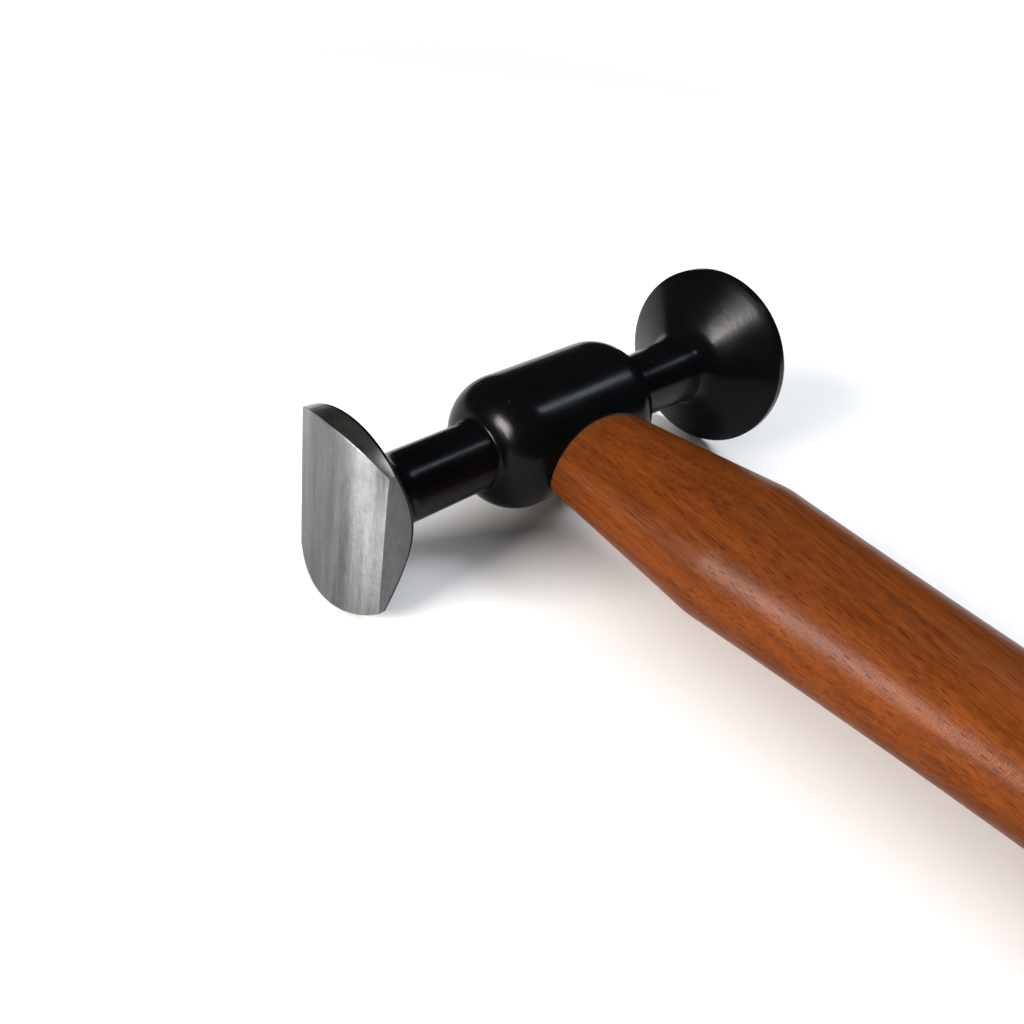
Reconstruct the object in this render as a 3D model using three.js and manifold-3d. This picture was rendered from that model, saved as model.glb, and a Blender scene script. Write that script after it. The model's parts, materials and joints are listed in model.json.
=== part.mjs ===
// A jeweller's hammer lying on a bench: a one-piece steel head with a round flat face at one end and a
// cross peen with a rounded face at the other, on a hardwood handle that is wedged into the head's eye.
// Units are millimetres, +Z is up. The pieces are made in the hammer's own axes (X along the head towards
// the peen, Y along the handle towards its butt, centre of the eye at 0, 0, 0), and the whole hammer is then
// laid down on Z = 0, on the rim of the round face, the foot of the peen and the swell of the grip.
import * as THREE from "three";
import { mergeVertices } from "three/addons/utils/BufferGeometryUtils.js";
import Module from "manifold-3d";

// Head: barrel round the eye
const barrelRadius = 11.75;
const barrelHalfLength = 18.5;
const shoulderRadius = 7.8; // rounding of the barrel's two ends
const shoulderFoot = 0.9; // small hollow fillet between a barrel end and its neck

// Head: round face
const faceRadius = 18;
const faceAt = 47.5; // distance of the flat face from the eye's centre
const faceLand = 2; // straight rim behind the face
const faceEdge = 0.4; // break between the face and its rim
const faceNeckRadius = 6.1; // at the barrel
const faceNeckEndRadius = 6.4; // where it starts to flare

// Head: cross peen
const peenHeight = 33;
const peenWidth = 20.4;
const peenAt = 48; // distance of the peen's crest from the eye's centre
const peenCrown = 22.4; // radius of its rounded face, which runs straight up and down
const peenRim = 3.8; // rim at the middle, from the crest back to the flare
const peenNeckRadius = 5.9;

// Both ends flare from neck to rim at one angle to the head's length
const flareAngle = THREE.MathUtils.degToRad(57);
const flareFillet = 5;

// Eye and the tenon in it
const eyeHalfLength = 11.8;
const eyeHalfHeight = 6.2;
const fitGap = 0.3; // between any two pieces that touch
const tenonInset = 0.35; // how far the sawn end of the tenon lies inside the barrel's far side
const tenonEnd = barrelRadius - tenonInset;

// Handle: half width along X and half thickness along Z at each station along Y
const handleLength = 225; // from the eye's centre to the butt
const neckLedge = 0.6; // how far the handle stands proud of the eye all round
const neckHalfWidth = eyeHalfLength + neckLedge;
const neckHalfThickness = eyeHalfHeight + neckLedge;
const ridgeAt = 41.5;
const ridgeHalfWidth = 14.3;
const ridgeHalfThickness = 11.1;
const ridgeBreak = 1.2; // half the width of the narrow facet that breaks the ridge
const swellFromButt = 35;
const swellAt = handleLength - swellFromButt;
const swellHalfWidth = 14.2;
const swellHalfThickness = 10.8;
const waistFromSwell = 70;
const waistAt = swellAt - waistFromSwell;
const waistHalfWidth = 12;
const waistHalfThickness = 9.2;
const buttHalfWidth = 13;
const buttHalfThickness = 9.9;
const buttRounding = 5;

// Wedges: one of wood along the eye, and two of steel across it
const wedgeTip = 0.7; // thickness left at the thin end of every wedge
const woodWedgeInset = 2.3; // from each end of it to the end of the eye
const woodWedgeLength = 2 * (eyeHalfLength - woodWedgeInset);
const woodWedgePast = 3.6; // how far its thin end passes the eye's centre
const woodWedgeDepth = tenonEnd + woodWedgePast;
const woodWedgeThick = 2.6;
const steelWedgeInset = 1.9; // from each end of one to the side of the eye
const steelWedgeWidth = 2 * (eyeHalfHeight - steelWedgeInset);
const steelWedgeShort = 2.4; // how far its thin end stops short of the eye's centre
const steelWedgeDepth = tenonEnd - steelWedgeShort;
const steelWedgeThick = 1.9;
const steelWedgeFromEnd = 4.1; // from the middle of one to the nearer end of the wood wedge
const steelWedgeAt = woodWedgeLength / 2 - steelWedgeFromEnd;

const roundSegments = 72;
const handleSegments = 56;
const settlingPower = 1.8; // 1 is a straight line, more falls away faster after the ridge
const stationStep = 9; // spacing of the handle's sections along the grip
const spare = 1; // how far a cutter runs on past the surface it opens
const wide = 60; // larger than any section of the head

const wasm = await Module();
wasm.setup();

function solid(geometry) {
  const bare = geometry.clone();
  bare.deleteAttribute("normal");
  bare.deleteAttribute("uv");
  const merged = mergeVertices(bare, 1e-4);
  return new wasm.Manifold(
    new wasm.Mesh({
      numProp: 3,
      vertProperties: merged.attributes.position.array,
      triVerts: new Uint32Array(merged.index.array),
    }),
  );
}

function geometryOf(manifold) {
  const mesh = manifold.getMesh();
  const geometry = new THREE.BufferGeometry();
  geometry.setAttribute("position", new THREE.BufferAttribute(mesh.vertProperties, 3));
  geometry.setIndex(new THREE.BufferAttribute(mesh.triVerts, 1));
  geometry.computeVertexNormals();
  return geometry;
}

function piece(name, manifold, material) {
  const mesh = new THREE.Mesh(geometryOf(manifold), material);
  mesh.name = name;
  return mesh;
}

// A round of an outline, as points (radius, place along the head) from one angle to another.
function arc(along, radius, size, from, to, steps) {
  return Array.from({ length: steps + 1 }, (_, i) => {
    const turn = from + ((to - from) * i) / steps;
    return new THREE.Vector2(radius + size * Math.sin(turn), along + size * Math.cos(turn));
  });
}

// Half of the barrel's outline, from the eye's middle out to the neck, with the hollow fillet at its foot.
function shoulder(neckRadius) {
  const centreRadius = barrelRadius - shoulderRadius;
  const footRadius = neckRadius + shoulderFoot;
  const reach = shoulderRadius + shoulderFoot;
  const dip = Math.asin((footRadius - centreRadius) / reach);
  const centreAt = barrelHalfLength - Math.sqrt(shoulderRadius ** 2 - (neckRadius - centreRadius) ** 2);
  const footAt = centreAt + reach * Math.cos(dip);
  return [
    ...arc(centreAt, centreRadius, shoulderRadius, Math.PI / 2, dip, 9),
    ...arc(footAt, footRadius, shoulderFoot, dip + Math.PI, 1.5 * Math.PI, 4).slice(1),
  ];
}

// The flare from a neck to the back edge of a rim: a fillet and then a straight cone.
function flare(neckRadius, rimRadius, rimBackAt) {
  const coneFoot = rimBackAt - (rimRadius - neckRadius) / Math.tan(flareAngle);
  const filletAt = coneFoot - flareFillet * Math.tan(flareAngle / 2);
  return [
    ...arc(filletAt, neckRadius + flareFillet, flareFillet, 1.5 * Math.PI, 1.5 * Math.PI - flareAngle, 6).map(
      (p) => new THREE.Vector2(p.x, 2 * filletAt - p.y),
    ),
    new THREE.Vector2(rimRadius, rimBackAt),
  ];
}

function mirrored(points) {
  return points.map((p) => new THREE.Vector2(p.x, -p.y)).reverse();
}

// The head before it is cut: one turned outline from the round face to the peen's end.
function turnedBlank() {
  const faceSide = [
    ...shoulder(faceNeckRadius),
    ...flare(faceNeckEndRadius, faceRadius, faceAt - faceLand),
    new THREE.Vector2(faceRadius, faceAt - faceEdge),
    new THREE.Vector2(faceRadius - faceEdge, faceAt),
    new THREE.Vector2(0, faceAt),
  ];
  const peenSide = [
    ...shoulder(peenNeckRadius),
    ...flare(peenNeckRadius, peenHeight / 2, peenAt - peenRim),
    new THREE.Vector2(peenHeight / 2, peenAt + spare),
    new THREE.Vector2(0, peenAt + spare),
  ];
  const outline = [...mirrored(faceSide), ...peenSide];
  return solid(new THREE.LatheGeometry(outline, roundSegments).rotateZ(-Math.PI / 2));
}

// What the peen's grinding leaves, seen from above: rounded front, two flat sides, and open behind.
function peenPlan() {
  const half = peenWidth / 2;
  const turn = Math.asin(half / peenCrown);
  const neckAt = (barrelHalfLength + peenAt - peenRim) / 2;
  const plan = new THREE.Shape();
  plan.moveTo(-wide, -wide);
  plan.lineTo(neckAt, -wide);
  plan.lineTo(neckAt, -half);
  plan.absarc(peenAt - peenCrown, 0, peenCrown, -turn, turn, false);
  plan.lineTo(neckAt, half);
  plan.lineTo(neckAt, wide);
  plan.lineTo(-wide, wide);
  const block = new THREE.ExtrudeGeometry(plan, { depth: 2 * wide, bevelEnabled: false, curveSegments: 28 });
  return solid(block.translate(0, 0, -wide));
}

// An oval bar along Y, for the eye and for the tenon.
function ovalBar(halfWidth, halfHeight, from, to) {
  const oval = new THREE.Shape();
  oval.absellipse(0, 0, halfWidth, halfHeight, 0, 2 * Math.PI, false, 0);
  const bar = new THREE.ExtrudeGeometry(oval, { depth: to - from, bevelEnabled: false, curveSegments: 24 });
  return solid(bar.rotateX(-Math.PI / 2).translate(0, from, 0));
}

// A wedge driven in along +Y from the tenon's sawn end; its thickness runs along Z, its width along X.
function wedge(width, depth, thickness, gap) {
  const side = new THREE.Shape();
  const tail = gap ? tenonEnd + spare : tenonEnd;
  const tip = depth - tenonEnd + gap;
  side.moveTo(-tail, -thickness / 2 - gap);
  side.lineTo(tip, -wedgeTip / 2 - gap);
  side.lineTo(tip, wedgeTip / 2 + gap);
  side.lineTo(-tail, thickness / 2 + gap);
  const bar = new THREE.ExtrudeGeometry(side, { depth: width + 2 * gap, bevelEnabled: false });
  bar.translate(0, 0, -width / 2 - gap);
  return bar.rotateZ(Math.PI / 2).rotateY(Math.PI / 2);
}

function woodWedge(gap) {
  return solid(wedge(woodWedgeLength, woodWedgeDepth, woodWedgeThick, gap));
}

function steelWedge(side, gap) {
  const across = wedge(steelWedgeWidth, steelWedgeDepth, steelWedgeThick, gap).rotateY(Math.PI / 2);
  return solid(across.translate(side * steelWedgeAt, 0, 0));
}

// Straight line between two stations of the handle.
function between(at, from, to, low, high) {
  return low + ((high - low) * (at - from)) / (to - from);
}

// Soft curve between two stations that leaves each one level.
function eased(at, from, to, low, high) {
  return low + (high - low) * THREE.MathUtils.smoothstep(at, from, to);
}

// The grip falls away from the ridge fast at first and then slowly, down to the waist.
function settling(at, from, to, high, low) {
  return low + (high - low) * (1 - (at - from) / (to - from)) ** settlingPower;
}

function handleHalf(at, neck, ridge, waist, swell, butt) {
  if (at <= ridgeAt) return between(at, barrelRadius, ridgeAt, neck, ridge);
  if (at <= waistAt) return settling(at, ridgeAt, waistAt, ridge, waist);
  if (at <= swellAt) return eased(at, waistAt, swellAt, waist, swell);
  return eased(at, swellAt, handleLength, swell, butt);
}

function handleWidthAt(at) {
  return handleHalf(at, neckHalfWidth, ridgeHalfWidth, waistHalfWidth, swellHalfWidth, buttHalfWidth);
}

function handleThicknessAt(at) {
  return handleHalf(
    at,
    neckHalfThickness,
    ridgeHalfThickness,
    waistHalfThickness,
    swellHalfThickness,
    buttHalfThickness,
  );
}

// The handle outside the head: a turned outline of its half widths, flattened to its thickness all along.
function gripBar() {
  const stations = [0, ridgeAt / 2, ridgeAt - ridgeBreak, ridgeAt + ridgeBreak];
  const roundStart = handleLength - buttRounding;
  for (let at = ridgeAt + stationStep; at < roundStart; at += stationStep) stations.push(at);
  const outline = stations.map((at) => new THREE.Vector2(handleWidthAt(at), at));
  for (let i = 0; i <= 5; i += 1) {
    const turn = (i * Math.PI) / 10;
    const at = roundStart + buttRounding * Math.sin(turn);
    const inset = buttRounding * (1 - Math.cos(turn));
    outline.push(new THREE.Vector2(handleWidthAt(at) - inset, at));
  }
  outline.unshift(new THREE.Vector2(0, 0));
  outline.push(new THREE.Vector2(0, handleLength));
  const bar = new THREE.LatheGeometry(outline, handleSegments);
  const place = bar.attributes.position;
  for (let i = 0; i < place.count; i += 1) {
    const at = place.getY(i);
    place.setZ(i, (place.getZ(i) * handleThicknessAt(at)) / handleWidthAt(at));
  }
  return solid(bar);
}

function headSolid() {
  const eye = ovalBar(eyeHalfLength, eyeHalfHeight, -wide, wide);
  return turnedBlank().intersect(peenPlan()).subtract(eye);
}

// The tenon and its wedges are dressed down together to the barrel's round.
function dressed(body) {
  const round = new THREE.CylinderGeometry(tenonEnd, tenonEnd, 2 * wide, roundSegments);
  const rest = new THREE.BoxGeometry(2 * wide, 2 * handleLength, 2 * wide).translate(0, handleLength, 0);
  return body.intersect(solid(round.rotateZ(Math.PI / 2)).add(solid(rest)));
}

// The handle: its end is scooped to sit on the barrel, and its tenon fills the eye round the wedges.
function handleSolid() {
  const barrel = new THREE.CylinderGeometry(
    barrelRadius + fitGap,
    barrelRadius + fitGap,
    2 * wide,
    roundSegments,
  );
  const scooped = gripBar().subtract(solid(barrel.rotateZ(Math.PI / 2)));
  const tenon = ovalBar(eyeHalfLength - fitGap, eyeHalfHeight - fitGap, -tenonEnd, barrelRadius + spare);
  return scooped
    .add(dressed(tenon))
    .subtract(woodWedge(fitGap))
    .subtract(steelWedge(-1, fitGap))
    .subtract(steelWedge(1, fitGap));
}

// The wooden wedge, split by the two steel ones driven across it.
function slottedWedge() {
  return dressed(woodWedge(0)).subtract(steelWedge(-1, fitGap)).subtract(steelWedge(1, fitGap));
}

function paintedSteel() {
  return new THREE.MeshStandardMaterial({ color: 0x0c0d0f, roughness: 0.35, metalness: 0.1 });
}

function stainedHardwood() {
  return new THREE.MeshStandardMaterial({ color: 0x7a3a1c, roughness: 0.5, metalness: 0 });
}

function paleWood() {
  return new THREE.MeshStandardMaterial({ color: 0xb98a58, roughness: 0.65, metalness: 0 });
}

function bareSteel() {
  return new THREE.MeshStandardMaterial({ color: 0x8f9194, roughness: 0.4, metalness: 1 });
}

const hammer = new THREE.Group();
hammer.add(piece("hammer_head", headSolid(), paintedSteel()));
hammer.add(piece("handle", handleSolid(), stainedHardwood()));
hammer.add(piece("wood_wedge", slottedWedge(), paleWood()));
hammer.add(piece("steel_wedge_face_side", dressed(steelWedge(-1, 0)), bareSteel()));
hammer.add(piece("steel_wedge_peen_side", dressed(steelWedge(1, 0)), bareSteel()));

// Laying it down: the head leans towards its smaller end, and the handle's swell comes down to the bench.
const headLean = Math.atan2(faceRadius - peenHeight / 2, faceAt - faceLand + peenAt);
const eyeHeight = faceRadius - Math.tan(headLean) * (faceAt - faceLand);
const handleDrop = Math.atan2(eyeHeight - swellHalfThickness, swellAt);
hammer.rotation.set(-handleDrop, headLean, 0);

// The origin is on the bench, under the middle of the hammer's outer box.
const lying = new THREE.Group();
lying.add(hammer);
lying.updateMatrixWorld(true);
const box = new THREE.Box3().setFromObject(lying, true);
hammer.position.set(-(box.min.x + box.max.x) / 2, -(box.min.y + box.max.y) / 2, -box.min.z);

export default lying;
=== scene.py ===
import json
import math
from functools import partial

import bmesh
import bpy
from mathutils import Matrix, Vector
from mathutils.geometry import intersect_line_line


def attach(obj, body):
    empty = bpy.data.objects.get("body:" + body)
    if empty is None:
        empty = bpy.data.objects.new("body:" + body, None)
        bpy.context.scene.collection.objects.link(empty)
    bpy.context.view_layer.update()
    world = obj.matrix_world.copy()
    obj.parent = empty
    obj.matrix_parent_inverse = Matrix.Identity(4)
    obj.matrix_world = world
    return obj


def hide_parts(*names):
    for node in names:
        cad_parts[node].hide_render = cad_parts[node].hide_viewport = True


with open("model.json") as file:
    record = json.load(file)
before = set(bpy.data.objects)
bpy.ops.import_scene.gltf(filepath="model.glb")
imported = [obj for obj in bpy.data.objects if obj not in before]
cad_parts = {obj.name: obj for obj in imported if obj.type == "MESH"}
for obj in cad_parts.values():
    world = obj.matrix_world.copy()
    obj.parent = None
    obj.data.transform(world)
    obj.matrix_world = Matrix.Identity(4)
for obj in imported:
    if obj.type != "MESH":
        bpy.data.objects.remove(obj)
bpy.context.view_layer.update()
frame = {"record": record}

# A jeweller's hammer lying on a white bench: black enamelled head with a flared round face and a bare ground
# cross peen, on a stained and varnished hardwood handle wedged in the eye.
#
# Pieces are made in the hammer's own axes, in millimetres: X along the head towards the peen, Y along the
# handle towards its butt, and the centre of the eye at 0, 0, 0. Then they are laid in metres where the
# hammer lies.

MM = 0.001

# ---- sizes, in millimetres -----------------------------------------------------------------------

BARREL_RADIUS = 11.75
BARREL_HALF_LENGTH = 18.5
SHOULDER_RADIUS = 7.8
SHOULDER_FOOT = 0.9  # hollow round where a shoulder rises from its neck

FACE_RADIUS = 17.985  # a hair under 18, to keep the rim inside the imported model's box
FACE_LAND = 2  # straight rim behind the striking face
FACE_EDGE = 0.4  # round between the two
FACE_NECK_RADIUS = 6.1
FACE_NECK_END_RADIUS = 6.4

PEEN_HEIGHT = 33
PEEN_WIDTH = 20.4
PEEN_AT = 48
PEEN_CROWN = 22.4  # radius that the peen's face is ground to across its width
PEEN_RIM = 3.8  # from the crown's top back to the corner of the rim
PEEN_NECK_RADIUS = 5.9

FLARE_ANGLE = math.radians(57)  # between both flares' cones and the head's axis
FLARE_FILLET = 5
PAINT_LAP = 0.4  # how far the enamel runs over the back edge of the peen's ground rim
EDGE_BREAK = 0.13  # stoned edges of the peen
RIM_BREAK = 0.22  # softer painted edges behind both rims

EYE_HALF_LENGTH = 11.8
EYE_HALF_HEIGHT = 6.2
EYE_MOUTH = 0.55  # rounding of the eye's mouths
EYE_LIFT = 0.02  # the rounding starts this far outside the barrel, so that no sliver is left
CUTTER_REACH = 3  # how far the eye's cutter stands out of the barrel
TENON_FIT = 0.04  # what is left of the gap once the handle is wedged
TENON_END = 11.4
TENON_CORNER = 0.15  # broken edge round the tenon's sawn end
SEAT_GAP = 0.07  # between the handle's shoulder and the barrel
SEAT_EDGE = 0.12  # broken edge round the handle's shoulder

NECK_HALF_WIDTH = 12.4
NECK_HALF_THICKNESS = 6.8
RIDGE_AT = 41.5
RIDGE_HALF_WIDTH = 14.3
RIDGE_HALF_THICKNESS = 11.1
RIDGE_SOFTENING = 1.1  # half the length over which the ridge is rubbed down
SWELL_FROM_BUTT = 35
SWELL_HALF_WIDTH = 14.2
SWELL_HALF_THICKNESS = 10.794  # a hair under 10.8, for the same reason as the rim
WAIST_FROM_SWELL = 70
WAIST_HALF_WIDTH = 12
WAIST_HALF_THICKNESS = 9.2
BUTT_HALF_WIDTH = 13
BUTT_HALF_THICKNESS = 9.9
BUTT_ROUNDING = 5
SETTLING_POWER = 1.8  # how soon the grip settles from the ridge to its waist

WEDGE_TIP = 0.7  # thickness of every wedge's thin end
WEDGE_FIT = 0.03  # how much wider than a wedge its slot is, all round
WEDGE_BREAK = 0.1
WEDGE_RECESS = 0.05  # wedges sit a hair below the sawn wood
WEDGE_CUTTER_REACH = 1
WEDGE_SLICES = 12
CORNER_TURN = 0.5  # radians: edges of a wedge that turn by more than this are broken
WOOD_WEDGE = {"length": 19, "depth": 15, "thick": 2.6}
STEEL_WEDGE = {"length": 8.6, "depth": 9, "thick": 1.9}
STEEL_WEDGE_AT = 5.4  # along the head from the eye's centre, on both sides

# how finely each stretch is drawn, as a count of faces along or round it
EDGE_STEPS = 3
RIM_STEPS = 4
FACE_EDGE_STEPS = 4
CONE_STEPS = 8
PEEN_CONE_STEPS = 6
FILLET_STEPS = 10
FOOT_STEPS = 6
SHOULDER_STEPS = 18
BARREL_STEPS = 16
PEEN_COLUMNS = 40  # faces across the peen
PEEN_ROWS = 64  # and up and down it
EYE_SIDES = 144
MOUTH_STEPS = 6
HANDLE_SIDES = 176
NECK_STEPS = 18
BUTT_STEPS = 10
HANDLE_STEP = 1.7  # millimetres between sections of the grip

# ---- where the hammer lies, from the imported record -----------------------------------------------

mounts = {m["name"]: m for m in frame["record"]["mounts"]}
face_point = Vector(mounts["striking_face"]["pos_m"])
butt_point = Vector(mounts["butt"]["pos_m"])
along_head = -Vector(mounts["striking_face"]["axis"]).normalized()
along_handle = Vector(mounts["butt"]["axis"]).normalized()
eye_centre = intersect_line_line(
    face_point, face_point + along_head, butt_point, butt_point - along_handle
)[0]
FACE_AT = (face_point - eye_centre).length / MM
BUTT_CLEARANCE = 0.002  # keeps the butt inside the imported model's box
HANDLE_LENGTH = (butt_point - eye_centre).length / MM - BUTT_CLEARANCE
hammer_place = Matrix.Translation(eye_centre) @ Matrix(
    (along_head, along_handle, along_head.cross(along_handle))
).transposed().to_4x4()
LAID_DOWN = hammer_place @ Matrix.Scale(MM, 4)

CREASE_ANGLE = math.radians(32)  # faces that meet at more than this keep a crisp edge


# ---- mesh helpers --------------------------------------------------------------------------------

def ring(mesh, points):
    return [mesh.verts.new(p) for p in points]


def loft(mesh, rings, finishes=None):
    """Quads between closed rings of the same count, in one finish or in one for each pair of rings."""
    for k, (one, other) in enumerate(zip(rings, rings[1:])):
        for i in range(len(one)):
            j = (i + 1) % len(one)
            face = mesh.faces.new((one[i], one[j], other[j], other[i]))
            face.material_index = finishes[k] if finishes else 0


def cap(mesh, edge, centre, finish=0):
    """A fan from a ring to one point."""
    middle = mesh.verts.new(centre)
    for i in range(len(edge)):
        mesh.faces.new((edge[i], edge[(i + 1) % len(edge)], middle)).material_index = finish


def coat(mesh, finish):
    """One finish all over."""
    for face in mesh.faces:
        face.material_index = finish


def put(name, mesh, materials, place=LAID_DOWN):
    """Turns a mesh into an object, from hammer millimetres to where the hammer lies unless told otherwise."""
    bmesh.ops.recalc_face_normals(mesh, faces=mesh.faces)
    data = bpy.data.meshes.new(name)
    mesh.to_mesh(data)
    mesh.free()
    data.transform(place)
    for material in materials:
        data.materials.append(material)
    piece = bpy.data.objects.new(name, data)
    bpy.context.scene.collection.objects.link(piece)
    return piece


def carve(piece, cutter):
    """Cuts one object out of another and throws the cutter away. Cut faces take the cutter's finish."""
    cut = piece.modifiers.new("cut", "BOOLEAN")
    cut.operation = "DIFFERENCE"
    cut.solver = "EXACT"
    cut.object = cutter
    bpy.context.view_layer.update()
    carved = bpy.data.meshes.new_from_object(piece.evaluated_get(bpy.context.evaluated_depsgraph_get()))
    piece.modifiers.clear()
    piece.data = carved
    bpy.data.objects.remove(cutter)


def finish_piece(piece, node):
    """Smooth faces with crisp edges where they turn sharply, fixed to the hammer's one body."""
    piece.data.name = piece.name
    piece.data.shade_smooth()
    piece.data.set_sharp_from_angle(angle=CREASE_ANGLE)
    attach(piece, "root")
    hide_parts(node)


# ---- head ----------------------------------------------------------------------------------------

ENAMEL, GROUND, POLISHED = 0, 1, 2
ON_A_FLAT = 1e-5  # millimetres
STRIKING_FACE_RINGS = (0.96, 0.66, 0.33)  # shares of its radius


def arc(centre_x, centre_r, size, start, end, steps):
    """Points (x, radius) of a round in the head's turned outline."""
    turns = [start + (end - start) * i / steps for i in range(steps + 1)]
    return [(centre_x + size * math.cos(t), centre_r + size * math.sin(t)) for t in turns]


def peen_front(inset, back):
    """The peen's rounded face as rows of points, set in from its rim and back where its edge rounds."""
    half, rim = PEEN_WIDTH / 2 - inset, PEEN_HEIGHT / 2 - inset
    inner_half = PEEN_WIDTH / 2 - EDGE_BREAK
    rows = []
    for j in range(PEEN_ROWS + 1):
        row = []
        for i in range(PEEN_COLUMNS + 1):
            share = 2 * i / PEEN_COLUMNS - 1
            crown = math.sqrt(PEEN_CROWN**2 - (inner_half * share) ** 2) - PEEN_CROWN
            z = (2 * j / PEEN_ROWS - 1) * math.sqrt(rim**2 - (half * share) ** 2)
            row.append((PEEN_AT + crown - back, half * share, z))
        rows.append(row)
    return rows


def around(rows):
    """The border of a grid, once round."""
    last = len(rows[0]) - 1
    return (
        rows[0][:last]
        + [row[last] for row in rows[:-1]]
        + rows[-1][:0:-1]
        + [row[0] for row in rows[:0:-1]]
    )


def flare_outline(neck_radius, rim_radius, rim_back):
    """From the cone's foot down the fillet to the neck; the cone itself is straight from there to the rim."""
    cone_foot = rim_back - (rim_radius - neck_radius) / math.tan(FLARE_ANGLE)
    fillet_x = cone_foot - FLARE_FILLET * math.tan(FLARE_ANGLE / 2)
    start, end = 1.5 * math.pi - FLARE_ANGLE, 1.5 * math.pi
    fillet = arc(fillet_x, neck_radius + FLARE_FILLET, FLARE_FILLET, start, end, FILLET_STEPS)
    return [(2 * fillet_x - x, r) for x, r in fillet]


def shoulder_outline(neck_radius):
    """From a neck up the hollow foot and round the shoulder to the barrel."""
    centre_r = BARREL_RADIUS - SHOULDER_RADIUS
    foot_r = neck_radius + SHOULDER_FOOT
    reach = SHOULDER_RADIUS + SHOULDER_FOOT
    dip = math.asin((foot_r - centre_r) / reach)
    centre_x = BARREL_HALF_LENGTH - math.sqrt(SHOULDER_RADIUS**2 - (neck_radius - centre_r) ** 2)
    foot_x = centre_x + reach * math.cos(dip)
    foot = arc(foot_x, foot_r, SHOULDER_FOOT, 1.5 * math.pi, dip + math.pi, FOOT_STEPS)
    return foot + arc(centre_x, centre_r, SHOULDER_RADIUS, dip, math.pi / 2, SHOULDER_STEPS)[1:]


def turned_outline():
    """Outline (x, radius) of all that is round about the head's length, from the peen's cone foot on."""
    outline = [
        *flare_outline(PEEN_NECK_RADIUS, PEEN_HEIGHT / 2, PEEN_AT - PEEN_RIM),
        *shoulder_outline(PEEN_NECK_RADIUS),
    ]
    barrel_end = outline[-1][0]
    outline += [(barrel_end * (1 - 2 * i / BARREL_STEPS), BARREL_RADIUS) for i in range(1, BARREL_STEPS)]
    face_side = [
        *flare_outline(FACE_NECK_END_RADIUS, FACE_RADIUS, FACE_AT - FACE_LAND),
        *shoulder_outline(FACE_NECK_RADIUS),
    ]
    outline += [(-x, r) for x, r in reversed(face_side)]
    foot_x, foot_r = outline[-1]
    rim = [(FACE_LAND - FACE_AT - x, FACE_RADIUS - drop) for x, drop in rim_rounding()[::-1]]
    for share in (i / CONE_STEPS for i in range(1, CONE_STEPS)):
        outline.append((foot_x + (rim[0][0] - foot_x) * share, foot_r + (rim[0][1] - foot_r) * share))
    return outline + rim


def rim_rounding():
    """Steps (forward, inward) from the corner behind a rim, rounding it from the land over to the cone."""
    tangent = RIM_BREAK * math.tan(FLARE_ANGLE / 2)
    turns = [FLARE_ANGLE * i / RIM_STEPS for i in range(RIM_STEPS + 1)]
    return [(tangent - RIM_BREAK * math.sin(t), RIM_BREAK * (1 - math.cos(t))) for t in turns]


def make_head(materials):
    mesh = bmesh.new()
    rows = [ring(mesh, row) for row in peen_front(EDGE_BREAK, 0)]
    for low, high in zip(rows, rows[1:]):
        for i in range(PEEN_COLUMNS):
            mesh.faces.new((low[i], low[i + 1], high[i + 1], high[i])).material_index = GROUND
    rings = [around(rows)]
    for turn in (math.pi / 2 * i / EDGE_STEPS for i in range(1, EDGE_STEPS + 1)):
        border = around(peen_front(EDGE_BREAK * (1 - math.sin(turn)), EDGE_BREAK * (1 - math.cos(turn))))
        rings.append(ring(mesh, border))
    finishes = [GROUND] * EDGE_STEPS

    reach = [math.hypot(y, z) for _, y, z in border]
    ways = [(y / r, z / r) for (_, y, z), r in zip(border, reach)]
    outline = turned_outline()
    foot_r = outline[0][1]

    def peen_ring(forward=0, drop=0, share=0):
        """A ring on the cone behind the peen's rim: at the rim, forward and inward of it, or further down."""
        points = []
        for rim_r, (y, z) in zip(reach, ways):
            r = rim_r + (foot_r - rim_r) * share
            x = PEEN_AT - PEEN_RIM - (PEEN_HEIGHT / 2 - r) / math.tan(FLARE_ANGLE) + forward
            points.append((x, (r - drop) * y, (r - drop) * z))
        return ring(mesh, points)

    rings.append(peen_ring(PAINT_LAP))
    finishes.append(POLISHED)
    rings += [peen_ring(forward, drop) for forward, drop in rim_rounding()]
    rings += [peen_ring(share=i / PEEN_CONE_STEPS) for i in range(1, PEEN_CONE_STEPS)]
    rings += [ring(mesh, [(x, r * y, r * z) for y, z in ways]) for x, r in outline]
    finishes += [ENAMEL] * (len(rings) - len(finishes))

    face_outline = []
    for turn in (math.pi / 2 * i / FACE_EDGE_STEPS for i in range(FACE_EDGE_STEPS + 1)):
        drop = FACE_EDGE * (1 - math.cos(turn))
        face_outline.append((FACE_EDGE * (1 - math.sin(turn)) - FACE_AT, FACE_RADIUS - drop))
    face_outline += [(-FACE_AT, (FACE_RADIUS - FACE_EDGE) * share) for share in STRIKING_FACE_RINGS]
    rings += [ring(mesh, [(x, r * y, r * z) for y, z in ways]) for x, r in face_outline]
    finishes += [POLISHED] * (len(face_outline) - 1)
    loft(mesh, rings, finishes)
    cap(mesh, rings[-1], (-FACE_AT, 0, 0), POLISHED)
    for face in mesh.faces:
        flat = all(abs(abs(v.co.y) - PEEN_WIDTH / 2) < ON_A_FLAT for v in face.verts)
        if face.material_index == POLISHED and flat:
            face.material_index = GROUND  # the two flats at the peen's sides are ground like its face

    head = put("forged_head", mesh, materials)
    carve(head, make_eye_cutter(materials))
    finish_piece(head, "hammer_head")


def oval(half_x, half_z, count):
    turns = [2 * math.pi * i / count for i in range(count)]
    return [(half_x * math.cos(t), half_z * math.sin(t)) for t in turns]


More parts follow.
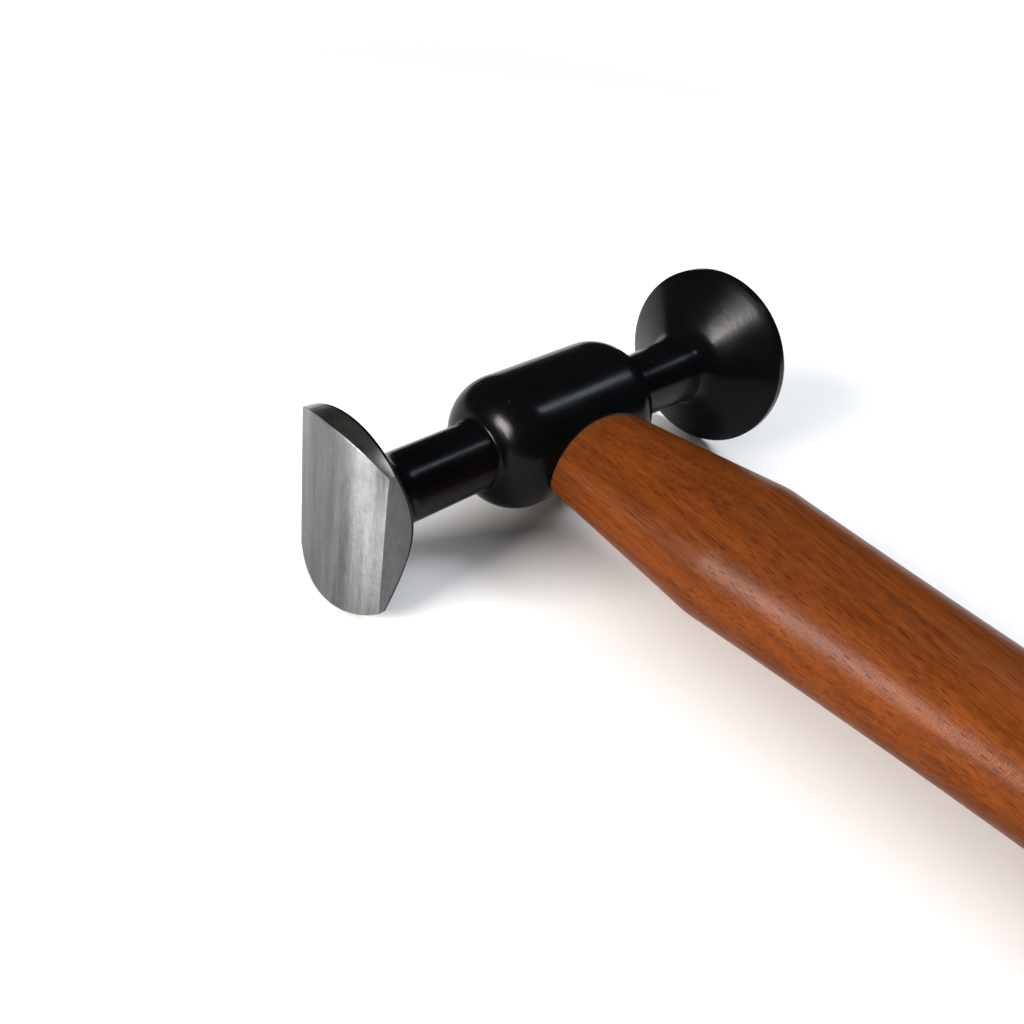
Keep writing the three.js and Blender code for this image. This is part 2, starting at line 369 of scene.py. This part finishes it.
def make_eye_cutter(materials):
    """An oval bar whose ends open out in a round, following the barrel, to leave soft mouths on the eye."""
    mesh = bmesh.new()
    sections = []
    for side in (-1, 1):
        wide = oval(EYE_HALF_LENGTH + EYE_MOUTH, EYE_HALF_HEIGHT + EYE_MOUTH, EYE_SIDES)
        mouth = [[(x, side * (BARREL_RADIUS + CUTTER_REACH), z) for x, z in wide]]
        for turn in (math.pi / 2 * i / MOUTH_STEPS for i in range(MOUTH_STEPS + 1)):
            wider = EYE_MOUTH * (1 - math.sin(turn))
            depth = EYE_MOUTH * (1 - math.cos(turn)) - EYE_LIFT
            mouth.append([
                (x, side * (math.sqrt(BARREL_RADIUS**2 - z**2) - depth), z)
                for x, z in oval(EYE_HALF_LENGTH + wider, EYE_HALF_HEIGHT + wider, EYE_SIDES)
            ])
        sections += mouth if side < 0 else mouth[::-1]
    rings = [ring(mesh, points) for points in sections]
    loft(mesh, rings)
    for end, side in ((rings[0], -1), (rings[-1], 1)):
        cap(mesh, end, (0, side * (BARREL_RADIUS + CUTTER_REACH), 0))
    coat(mesh, GROUND)
    return put("eye_cutter", mesh, materials)


# ---- handle and wedges ---------------------------------------------------------------------------

VARNISHED, SAWN = 0, 1
TENON_RINGS = (0.2, 0.4, 0.6, 0.8, 0.985)  # shares of the sawn end's width
NECK_START, NECK_END = 0.012, 0.985  # shares of the neck's length, next to its edge and to the ridge
SEAT_ROUNDS = 6  # the seat's place depends on the thickness there, so it is worked out this many times


def handle_half(at, neck, ridge, waist, swell, butt):
    """Half width or half thickness of the grip at a place along it."""
    swell_at = HANDLE_LENGTH - SWELL_FROM_BUTT
    waist_at = swell_at - WAIST_FROM_SWELL
    if at <= RIDGE_AT:
        return neck + (ridge - neck) * (at - BARREL_RADIUS) / (RIDGE_AT - BARREL_RADIUS)
    if at <= waist_at:
        return waist + (ridge - waist) * (1 - (at - RIDGE_AT) / (waist_at - RIDGE_AT)) ** SETTLING_POWER
    start, end, low, high = (
        (waist_at, swell_at, waist, swell) if at <= swell_at else (swell_at, HANDLE_LENGTH, swell, butt)
    )
    share = min((at - start) / (end - start), 1)
    return low + (high - low) * share * share * (3 - 2 * share)


def softened(at, *stations):
    """The same, with the corner at the ridge rubbed down a little."""
    near = [handle_half(at + step * RIDGE_SOFTENING, *stations) for step in (-1, -0.5, 0, 0.5, 1)]
    return sum(near) / len(near)


def half_width(at):
    return softened(
        at,
        NECK_HALF_WIDTH,
        RIDGE_HALF_WIDTH,
        WAIST_HALF_WIDTH,
        SWELL_HALF_WIDTH,
        BUTT_HALF_WIDTH,
    )


def half_thickness(at):
    return softened(
        at,
        NECK_HALF_THICKNESS,
        RIDGE_HALF_THICKNESS,
        WAIST_HALF_THICKNESS,
        SWELL_HALF_THICKNESS,
        BUTT_HALF_THICKNESS,
    )


def seat_at(z):
    """How far along the handle its shoulder meets the barrel, at a height above the handle's middle."""
    return math.sqrt((BARREL_RADIUS + SEAT_GAP) ** 2 - z**2)


def tenon_end(z):
    """How far along the handle its sawn end lies, dressed down to the barrel's round."""
    return -math.sqrt(TENON_END**2 - z**2)


def make_handle(materials):
    mesh = bmesh.new()
    turns = [2 * math.pi * i / HANDLE_SIDES for i in range(HANDLE_SIDES)]
    starts = []
    for turn in turns:
        at = BARREL_RADIUS
        for _ in range(SEAT_ROUNDS):
            at = seat_at(half_thickness(at) * math.sin(turn))
        starts.append(at)

    tenon = oval(EYE_HALF_LENGTH - TENON_FIT, EYE_HALF_HEIGHT - TENON_FIT, HANDLE_SIDES)
    sections = [[(x * share, tenon_end(z * share), z * share) for x, z in tenon] for share in TENON_RINGS]
    sections.append([(x, tenon_end(z) + TENON_CORNER, z) for x, z in tenon])
    sections.append([(x, 0, z) for x, z in tenon])
    sections.append([(x, seat_at(z), z) for x, z in tenon])
    sawn = len(sections)

    for share in [0, NECK_START] + [i / NECK_STEPS for i in range(1, NECK_STEPS)] + [NECK_END]:
        edge = SEAT_EDGE if share == 0 else 0
        section = []
        for turn, start in zip(turns, starts):
            at = start + (RIDGE_AT - start) * share
            x = (half_width(at) - edge) * math.cos(turn)
            section.append((x, at, (half_thickness(at) - edge) * math.sin(turn)))
        sections.append(section)

    round_start = HANDLE_LENGTH - BUTT_ROUNDING
    stations = [RIDGE_AT + RIDGE_SOFTENING * i for i in (0, 0.5, 1, 1.5)]
    while stations[-1] + HANDLE_STEP < round_start:
        stations.append(stations[-1] + HANDLE_STEP)
    grip = [(at, 1) for at in stations]
    for lean in (math.pi / 2 * i / BUTT_STEPS for i in range(BUTT_STEPS + 1)):
        at = round_start + BUTT_ROUNDING * math.sin(lean)
        grip.append((at, 1 - BUTT_ROUNDING * (1 - math.cos(lean)) / half_width(at)))
    for at, share in grip:
        wide, thick = half_width(at) * share, half_thickness(at) * share
        sections.append([(wide * math.cos(turn), at, thick * math.sin(turn)) for turn in turns])

    rings = [ring(mesh, points) for points in sections]
    loft(mesh, rings, [SAWN] * sawn + [VARNISHED] * (len(rings) - sawn))
    cap(mesh, rings[0], (0, -TENON_END, 0), SAWN)
    cap(mesh, rings[-1], (0, HANDLE_LENGTH, 0), VARNISHED)
    handle = put("turned_handle", mesh, materials)
    carve(handle, make_wedge("kerf", WOOD_WEDGE, materials, finish=SAWN))
    for side in (-1, 1):
        carve(handle, make_wedge("slot", STEEL_WEDGE, materials, side * STEEL_WEDGE_AT, SAWN))
    finish_piece(handle, "handle")


def make_wedge(name, size, materials, at=None, finish=None):
    """A wedge driven in along +Y. With a place it stands across the eye, and without one it lies along it.
    With a finish it is the cutter for its own slot, which leaves that finish behind."""
    mesh = bmesh.new()
    cutter = finish is not None
    gap = WEDGE_FIT if cutter else 0
    tip_y = size["depth"] - TENON_END + gap
    half = size["length"] / 2 + gap
    head, tip = size["thick"] / 2 + gap, WEDGE_TIP / 2 + gap
    slices = []
    steps = 1 if cutter else WEDGE_SLICES
    for i in range(steps + 1):
        a = half * (2 * i / steps - 1)
        head_y = tenon_end(head if at is None else a) + WEDGE_RECESS
        if cutter:
            head_y = -TENON_END - WEDGE_CUTTER_REACH
        profile = ((head_y, -head), (head_y, head), (tip_y, tip), (tip_y, -tip))
        slices.append(ring(mesh, [(a, y, b) if at is None else (at + b, y, a) for y, b in profile]))
    loft(mesh, slices)
    mesh.faces.new(slices[0])
    mesh.faces.new(slices[-1])
    if cutter:
        coat(mesh, finish)
    else:
        corners = [e for e in mesh.edges if e.calc_face_angle() > CORNER_TURN]
        bmesh.ops.bevel(
            mesh,
            geom=corners,
            offset=WEDGE_BREAK,
            offset_type="OFFSET",
            segments=2,
            profile=0.5,
            affect="EDGES",
        )
    return put(name, mesh, materials)


def make_wedges(wood, steel):
    wooden = make_wedge("wood_wedge_driven", WOOD_WEDGE, [wood])
    for side in (-1, 1):
        carve(wooden, make_wedge("slot", STEEL_WEDGE, [wood], side * STEEL_WEDGE_AT, 0))
    finish_piece(wooden, "wood_wedge")
    for side, where in ((-1, "face_side"), (1, "peen_side")):
        driven = make_wedge("steel_wedge_driven_" + where, STEEL_WEDGE, [steel], side * STEEL_WEDGE_AT)
        finish_piece(driven, "steel_wedge_" + where)


# ---- materials -----------------------------------------------------------------------------------

SOFT_NOISE = {"Scale": 1, "Roughness": 0.55}  # how coarse it is comes from the millimetres in its Mapping
DIVIDED = {"vector_type": "TEXTURE"}  # a Mapping that divides by its scale
ADDED = {"operation": "MULTIPLY_ADD"}  # a Math node that adds a weighted pattern to the sum so far
MULTIPLIED = {"operation": "MULTIPLY"}
COLOURS = {"data_type": "RGBA"}  # a Mix of two colours, which come in at 6 and 7, and their share at 0
RESULT = 2  # where a Mix of colours comes out


def paint(code):
    """An sRGB hex colour as linear red, green, blue and alpha."""
    parts = [int(code[i : i + 2], 16) / 255 for i in (1, 3, 5)]
    return (*(p / 12.92 if p <= 0.04045 else ((p + 0.055) / 1.055) ** 2.4 for p in parts), 1)


def add(tree, kind, sockets=(), out=0, **settings):
    """Adds one node and gives one of its outputs. Sockets are a dict by name or number, or a list from the
    first socket on, and each takes a plain value or another node's output."""
    made = tree.nodes.new("ShaderNode" + kind)
    for name, value in settings.items():
        setattr(made, name, value)
    for name, value in sockets.items() if isinstance(sockets, dict) else enumerate(sockets):
        if isinstance(value, bpy.types.NodeSocket):
            tree.links.new(value, made.inputs[name])
        else:
            made.inputs[name].default_value = value
    return made.outputs[out] if len(made.outputs) else made


def new_material(name):
    """An empty material, and what adds nodes to it."""
    material = bpy.data.materials.new(name)
    material.use_nodes = True
    material.node_tree.nodes.clear()
    return material, partial(add, material.node_tree)


def hammer_mm(node):
    """The place on a piece in the hammer's own axes, in millimetres."""
    return node("Mapping", {
        "Vector": node("TexCoord", out="Object"),
        "Location": hammer_place.to_translation(),
        "Rotation": hammer_place.to_euler(),
        "Scale": (MM, MM, MM),
    }, **DIVIDED)


def black_enamel():
    """Black stoving enamel sprayed on turned steel: a satin gloss, slightly uneven, with faint turning marks
    showing through and a few specks of dust under it. Its specular level is well under the usual 0.5,
    so that the lights don't grey the black."""
    material, node = new_material("black_enamel")
    mm = hammer_mm(node)
    cloud, fine, turning = [
        node("TexNoise", {
            **SOFT_NOISE,
            "Detail": detail,
            "Vector": node("Mapping", {"Vector": mm, "Scale": size}, **DIVIDED),
        })
        for size, detail in (
            ((7, 7, 7), 4),  # a coat that is thicker and thinner over some 7 mm
            ((0.4, 0.4, 0.4), 3),  # the sprayed skin's fine dimples
            ((0.22, 6, 6), 2),  # turning marks about 0.2 mm apart
        )
    ]
    spread = node("Mapping", {"Vector": mm, "Scale": (3.4, 3.4, 3.4)}, **DIVIDED)  # specks some 3 mm apart
    speck = node("MapRange", [node("TexVoronoi", {"Vector": spread, "Scale": 1}), 0.05, 0.02, 0, 1])
    colour = node("Mix", {0: cloud, 6: paint("#040506"), 7: paint("#08090a")}, RESULT, **COLOURS)
    colour = node("Mix", {0: speck, 6: colour, 7: paint("#2c2d2e")}, RESULT, **COLOURS)
    height = 0
    for pattern, weight in ((turning, 0.5), (fine, 0.6)):
        height = node("Math", [pattern, weight, height], **ADDED)
    shader = node("BsdfPrincipled", {
        "Base Color": colour,
        "Roughness": node("MapRange", [cloud, 0.3, 0.7, 0.17, 0.24]),
        "IOR": 1.5,
        "Specular IOR Level": 0.1,
        "Normal": node("Bump", {"Height": height, "Distance": 0.018 * MM}),
    })
    node("OutputMaterial", [shader])
    return material


def ground_steel():
    """Hardened steel ground bare on a belt and rubbed with fine paper: grey satin, with short scratches
    across the peen, a few odd ones the other way, and soft upright bands where passes of the belt met. The
    scratches stretch a light into a streak."""
    material, node = new_material("ground_steel")
    mm = hammer_mm(node)
    bands, cross, upright, mottle = [
        node("TexNoise", {
            "Vector": node("Mapping", {"Vector": mm, "Scale": size}, **DIVIDED),
            "Scale": 1,
            "Detail": detail,
            "Roughness": rough,
        })
        for size, detail, rough in (
            ((40, 2.4, 50), 2, 0.55),  # belt passes about 2.4 mm wide
            ((1.6, 1.6, 0.1), 4, 0.55),  # scratches 0.1 mm wide and 1 to 2 mm long
            ((0.3, 0.14, 2.4), 3, 0.55),  # the odd ones, 0.14 mm wide and upright
            ((2.2, 2.2, 3.5), 5, 0.65),  # handling marks 2 to 4 mm across
        )
    ]
    tone = height = 0
    for pattern, weight in ((bands, 0.4), (mottle, 0.16), (cross, 0.22), (upright, 0.22)):
        tone = node("Math", [pattern, weight, tone], **ADDED)
    for pattern, weight in ((cross, 1), (upright, 1), (bands, 3)):
        height = node("Math", [pattern, weight, height], **ADDED)
    share = node("MapRange", [tone, 0.4, 0.6, 0, 1])
    shader = node("BsdfPrincipled", {
        "Base Color": node("Mix", {0: share, 6: paint("#505153"), 7: paint("#77787a")}, RESULT, **COLOURS),
        "Metallic": 1,
        "Roughness": node("MapRange", [cross, 0.3, 0.7, 0.34, 0.5]),
        "Anisotropic": 0.87,
        "Normal": node("Bump", {"Height": height, "Distance": 0.03 * MM}),
        "Tangent": node("Tangent", direction_type="RADIAL", axis="Y"),
    })
    node("OutputMaterial", [shader])
    return material


def polished_steel():
    """The same steel polished fine round the rims and on the striking face: dark where the room is dark, with
    hairline turning marks that draw a light out along the head and a few brown smudges from handling."""
    material, node = new_material("polished_steel")
    mm = hammer_mm(node)
    lines, mottle, smudge = [
        node("TexNoise", {
            "Vector": node("Mapping", {"Vector": mm, "Scale": size}, **DIVIDED),
            "Scale": 1,
            "Detail": detail,
            "Roughness": rough,
        })
        for size, detail, rough in (
            ((0.12, 5, 5), 3, 0.55),  # hairlines about 0.1 mm apart
            ((4, 4, 4), 4, 0.55),  # polish that is brighter and duller over 4 mm
            ((1.4, 1.4, 1.4), 4, 0.7),  # smudges 1 to 2 mm across
        )
    ]
    colour = node("Mix", {0: mottle, 6: paint("#9b9893"), 7: paint("#b3b1ac")}, RESULT, **COLOURS)
    smudged = node("MapRange", [smudge, 0.6, 0.75, 0, 0.7])
    shader = node("BsdfPrincipled", {
        "Base Color": node("Mix", {0: smudged, 6: colour, 7: paint("#3c3630")}, RESULT, **COLOURS),
        "Metallic": 1,
        "Roughness": node("MapRange", [mottle, 0.3, 0.7, 0.26, 0.4]),
        "Normal": node("Bump", {"Height": lines, "Distance": 0.01 * MM}),
    })
    node("OutputMaterial", [shader])
    return material


GRAIN_SLOPE = math.radians(7)  # the grain runs out to one side of the handle


def wood_figure(node, mm, dark, middle, light, in_pores, pore_share):
    """Straight-grained hardwood: soft bands of colour, fine fibres, and short dark pores along the grain."""
    sloped = {"Vector": mm, "Rotation": (0, 0, -GRAIN_SLOPE)}
    broad, streak, fibre = [
        node("TexNoise", {
            **SOFT_NOISE,
            "Detail": detail,
            "Vector": node("Mapping", {**sloped, "Scale": size}, **DIVIDED),
        })
        for size, detail in (
            ((7, 70, 7), 3),  # growth bands about 7 mm wide
            ((1.1, 26, 1.1), 4),  # streaks about 1 mm wide
            ((0.16, 3.2, 0.16), 2),  # fibres drawn 0.16 mm wide, as real ones are too fine to show
        )
    ]
    tone = 0
    for pattern, weight in ((broad, 0.3), (streak, 0.35), (fibre, 0.35)):
        tone = node("Math", [pattern, weight, tone], **ADDED)
    colour = dark
    for low, high, lighter in ((0.38, 0.5, middle), (0.5, 0.62, light)):
        share = node("MapRange", [tone, low, high, 0, 1])
        colour = node("Mix", {0: share, 6: colour, 7: lighter}, RESULT, **COLOURS)
    # pores: open vessels about 0.2 mm wide and 2 to 4 mm long, in some of the cells only
    cells = node("Mapping", {**sloped, "Scale": (0.3, 4.4, 0.3)}, **DIVIDED)
    middles = node("TexVoronoi", {"Vector": cells, "Scale": 1})
    chance = node("SeparateColor", [middles.node.outputs["Color"]])
    open_here = node("MapRange", [middles, 0.4, 0.24, 0, 1])
    pore = node("Math", [open_here, node("MapRange", [chance, 0.5, 0.8, 0, 1])], **MULTIPLIED)
    share = node("Math", [pore, pore_share], **MULTIPLIED)
    return node("Mix", {0: share, 6: colour, 7: in_pores}, RESULT, **COLOURS), pore, fibre


def varnished_hardwood():
    """Beech stained red-brown, sanded in the lathe and varnished satin: warm, with dark pores along the grain
    and faint sanding rings across it that break up the gloss. Its specular level is well under the usual
    0.5, so that the lights don't wash out the stain."""
    material, node = new_material("varnished_hardwood")
    mm = hammer_mm(node)
    browns = [paint(code) for code in ("#48210a", "#5c2d0e", "#723912", "#2c1205")]
    colour, pore, fibre = wood_figure(node, mm, *browns, 0.7)
    across = node("Mapping", {"Vector": mm, "Scale": (0.6, 0.24, 0.6)}, **DIVIDED)
    # sanding marks about 0.25 mm apart
    rings = node("TexNoise", {**SOFT_NOISE, "Detail": 3, "Vector": across})
    rough = node("MapRange", [fibre, 0.3, 0.7, 0.26, 0.36])
    height = node("Math", [pore, -0.25, 0], **ADDED)
    height = node("Math", [fibre, 0.35, height], **ADDED)
    grain = node("Bump", {"Height": height, "Distance": 0.03 * MM})
    shader = node("BsdfPrincipled", {
        "Base Color": colour,
        "Roughness": node("Math", [pore, 0.06, rough], **ADDED),
        "IOR": 1.5,
        "Specular IOR Level": 0.05,
        "Normal": node("Bump", {"Height": rings, "Distance": 0.035 * MM, "Normal": grain}),
    })
    node("OutputMaterial", [shader])
    return material


def sawn_end_grain():
    """The tenon's sawn end: dry, paler than the stained handle, with growth bands and saw marks."""
    material, node = new_material("sawn_end_grain")
    mm = hammer_mm(node)
    browns = [paint(code) for code in ("#6d4524", "#8a5c33", "#a3733f", "#3f2410")]
    colour, _, fibre = wood_figure(node, mm, *browns, 0.7)
    across = node("Mapping", {"Vector": mm, "Scale": (12, 12, 0.35)}, **DIVIDED)
    # saw marks about 0.4 mm apart
    saw = node("TexNoise", {**SOFT_NOISE, "Detail": 2, "Vector": across})
    shader = node("BsdfPrincipled", {
        "Base Color": colour,
        "Roughness": 0.72,
        "Normal": node("Bump", {"Height": node("Math", [fibre, 0.4, saw], **ADDED), "Distance": 0.05 * MM}),
    })
    node("OutputMaterial", [shader])
    return material


def wedge_wood():
    """A plain beech wedge, cut off flush and dry: pale straw brown."""
    material, node = new_material("wedge_wood")
    browns = [paint(code) for code in ("#9a7146", "#b58a5a", "#c79d6c", "#6b4524")]
    colour, _, fibre = wood_figure(node, hammer_mm(node), *browns, 0.5)
    shader = node("BsdfPrincipled", {
        "Base Color": colour,
        "Roughness": 0.7,
        "Normal": node("Bump", {"Height": fibre, "Distance": 0.04 * MM}),
    })
    node("OutputMaterial", [shader])
    return material


def sheared_steel():
    """Mild steel wedges, sheared and hammered in: dull grey with a trace of brown."""
    material, node = new_material("sheared_steel")
    mm = hammer_mm(node)
    mottle, marks = [
        node("TexNoise", {
            **SOFT_NOISE,
            "Detail": detail,
            "Vector": node("Mapping", {"Vector": mm, "Scale": size}, **DIVIDED),
        })
        for size, detail in (
            ((1.4, 1.4, 1.4), 5),  # tarnish in patches of 1 to 2 mm
            ((0.5, 6, 0.12), 2),  # shear marks about 0.1 mm apart
        )
    ]
    share = node("MapRange", [mottle, 0.35, 0.65, 0, 1])
    height = node("Math", [mottle, marks], operation="ADD")
    shader = node("BsdfPrincipled", {
        "Base Color": node("Mix", {0: share, 6: paint("#6f6a63"), 7: paint("#8b8985")}, RESULT, **COLOURS),
        "Metallic": 1,
        "Roughness": node("MapRange", [mottle, 0.3, 0.7, 0.42, 0.58]),
        "Normal": node("Bump", {"Height": height, "Distance": 0.03 * MM}),
    })
    node("OutputMaterial", [shader])
    return material


def bench_paper():
    """The white paper that the hammer lies on: matt, and glowing more and more further out, where it sweeps
    up as a wall, so that the horizon hardly shows."""
    material, node = new_material("bench_paper")
    far = node("VectorMath", [node("TexCoord", out="Object")], "Value", operation="LENGTH")
    shader = node("BsdfPrincipled", {
        "Base Color": paint("#f2f2f2"),
        "Roughness": 0.9,
        "Specular IOR Level": 0.1,
        "Emission Color": paint("#ffffff"),
        "Emission Strength": node("MapRange", [far, GLOW_RADIUS, SWEEP_RADIUS, 0, GLOW_STRENGTH]),
    })
    node("OutputMaterial", [shader])
    return material


# ---- bench, lights and camera --------------------------------------------------------------------

# the bench, in metres
CENTRE_RADIUS = 0.01
BENCH_MIDDLE_RADIUS = 0.4
GLOW_RADIUS = 0.45
BENCH_RADIUS = 0.9
FLAT_RADIUS = 1.3
SWEEP_RADIUS = 1.7
WALL_RADIUS = 2.5
WALL_HEIGHT = 5

GLOW_STRENGTH = 1.6  # of the paper where it starts to sweep up, from none at the glow's radius
BENCH_SIDES = 96
BEND_STEPS = 16  # faces up the sweep

# The window and the warm light are each two lights, one that falls on matt surfaces and one that shows in
# gloss, so that each can be set by itself. The ceiling doesn't show in gloss.
# Name: azimuth and elevation in degrees; distance, width and height in metres; power in watts; colour;
# whether its width lies along the head or its height stands upright; and what it shows in.
LIGHTS = {
    "window_light": (-122, 50, 0.9, 0.35, 0.18, 4.6, "#f2f7ff", "head", "matt"),
    "window_glint": (-115, 48, 0.9, 0.35, 0.09, 1.3, "#e6f1ff", "head", "gloss"),
    "warm_softbox": (82, 24, 0.75, 0.42, 0.36, 10.5, "#fff8f2", "upright", "matt"),
    "warm_glint": (88, 24, 0.75, 0.32, 0.3, 17, "#fffaf6", "upright", "gloss"),
    "ceiling": (0, 89, 2.0, 3.4, 3.4, 38, "#fbfdff", "head", "matt"),
}

ROOM_GREY = "#404040"
ROOM_STRENGTH = 0.5

# the camera, in degrees and metres, with its lens in millimetres
CAMERA_AZIMUTH = 130
CAMERA_ELEVATION = 36.45
CAMERA_ROLL = 9.7
CAMERA_DISTANCE = 0.1437
CAMERA_AIM = (0.0246, 0.0150)  # from the eye's centre, towards the peen's side and towards the butt
CAMERA_LENS = 32.91
CAMERA_NEAR = 0.002


def direction(azimuth, elevation):
    """Unit vector from the hammer: azimuth 0 points along -Y and 90 along +X."""
    a, e = math.radians(azimuth), math.radians(elevation)
    return Vector((math.sin(a) * math.cos(e), -math.cos(a) * math.cos(e), math.sin(e)))


def make_bench():
    """A round sheet of paper, and round it the same paper sweeping up into a wall that lights nothing."""
    paper = bench_paper()
    rise = WALL_RADIUS - SWEEP_RADIUS
    leans = [math.pi / 2 * i / BEND_STEPS for i in range(BEND_STEPS + 1)]
    bend = [(SWEEP_RADIUS + rise * math.sin(t), rise * (1 - math.cos(t))) for t in leans]
    turns = [2 * math.pi * i / BENCH_SIDES for i in range(BENCH_SIDES)]
    for name, outline in (
        ("bench", [(CENTRE_RADIUS, 0), (BENCH_MIDDLE_RADIUS, 0), (BENCH_RADIUS, 0)]),
        ("bench_sweep", [(BENCH_RADIUS, 0), (FLAT_RADIUS, 0), *bend, (WALL_RADIUS, WALL_HEIGHT)]),
    ):
        mesh = bmesh.new()
        rings = [ring(mesh, [(r * math.cos(t), r * math.sin(t), z) for t in turns]) for r, z in outline]
        loft(mesh, rings)
        if name == "bench":
            cap(mesh, rings[0], (0, 0, 0))
        sheet = put(name, mesh, [paper], Matrix.Identity(4))
        sheet.data.shade_smooth()
        sheet.visible_glossy = sheet.visible_diffuse = name == "bench"


def make_light(name, azimuth, elevation, distance, width, height, power, colour, follows, shows):
    """A soft rectangular light that faces the eye of the hammer."""
    lamp = bpy.data.lights.new(name, "AREA")
    lamp.shape = "RECTANGLE"
    lamp.size = width
    lamp.size_y = height
    lamp.energy = power
    lamp.color = paint(colour)[:3]
    holder = bpy.data.objects.new(name, lamp)
    bpy.context.scene.collection.objects.link(holder)
    away = direction(azimuth, elevation)
    holder.location = eye_centre + away * distance
    if follows == "head":
        wide = (along_head - away * away.dot(along_head)).normalized()
    else:
        wide = Vector((0, 0, 1)).cross(away).normalized()
    holder.rotation_euler = Matrix((wide, away.cross(wide), away)).transposed().to_euler()
    holder.visible_glossy = shows == "gloss"
    holder.visible_diffuse = shows == "matt"


def light_scene():
    for name, light in LIGHTS.items():
        make_light(name, *light)
    world = bpy.data.worlds.new("dim_room")
    world.use_nodes = True
    room = world.node_tree.nodes["Background"].inputs
    room["Color"].default_value = paint(ROOM_GREY)
    room["Strength"].default_value = ROOM_STRENGTH
    bpy.context.scene.world = world
    bpy.context.scene.view_settings.view_transform = "Standard"


def make_camera():
    camera = bpy.data.objects.new("camera", bpy.data.cameras.new("camera"))
    bpy.context.scene.collection.objects.link(camera)
    away = direction(CAMERA_AZIMUTH, CAMERA_ELEVATION)
    camera.location = eye_centre + Vector((*CAMERA_AIM, 0)) + away * CAMERA_DISTANCE
    roll = Matrix.Rotation(math.radians(CAMERA_ROLL), 4, "Z")
    camera.rotation_euler = (away.to_track_quat("Z", "Y").to_matrix().to_4x4() @ roll).to_euler()
    camera.data.lens = CAMERA_LENS
    camera.data.clip_start = CAMERA_NEAR
    bpy.context.scene.camera = camera


make_camera()
light_scene()
make_bench()
make_head([black_enamel(), ground_steel(), polished_steel()])
make_handle([varnished_hardwood(), sawn_end_grain()])
make_wedges(wedge_wood(), sheared_steel())
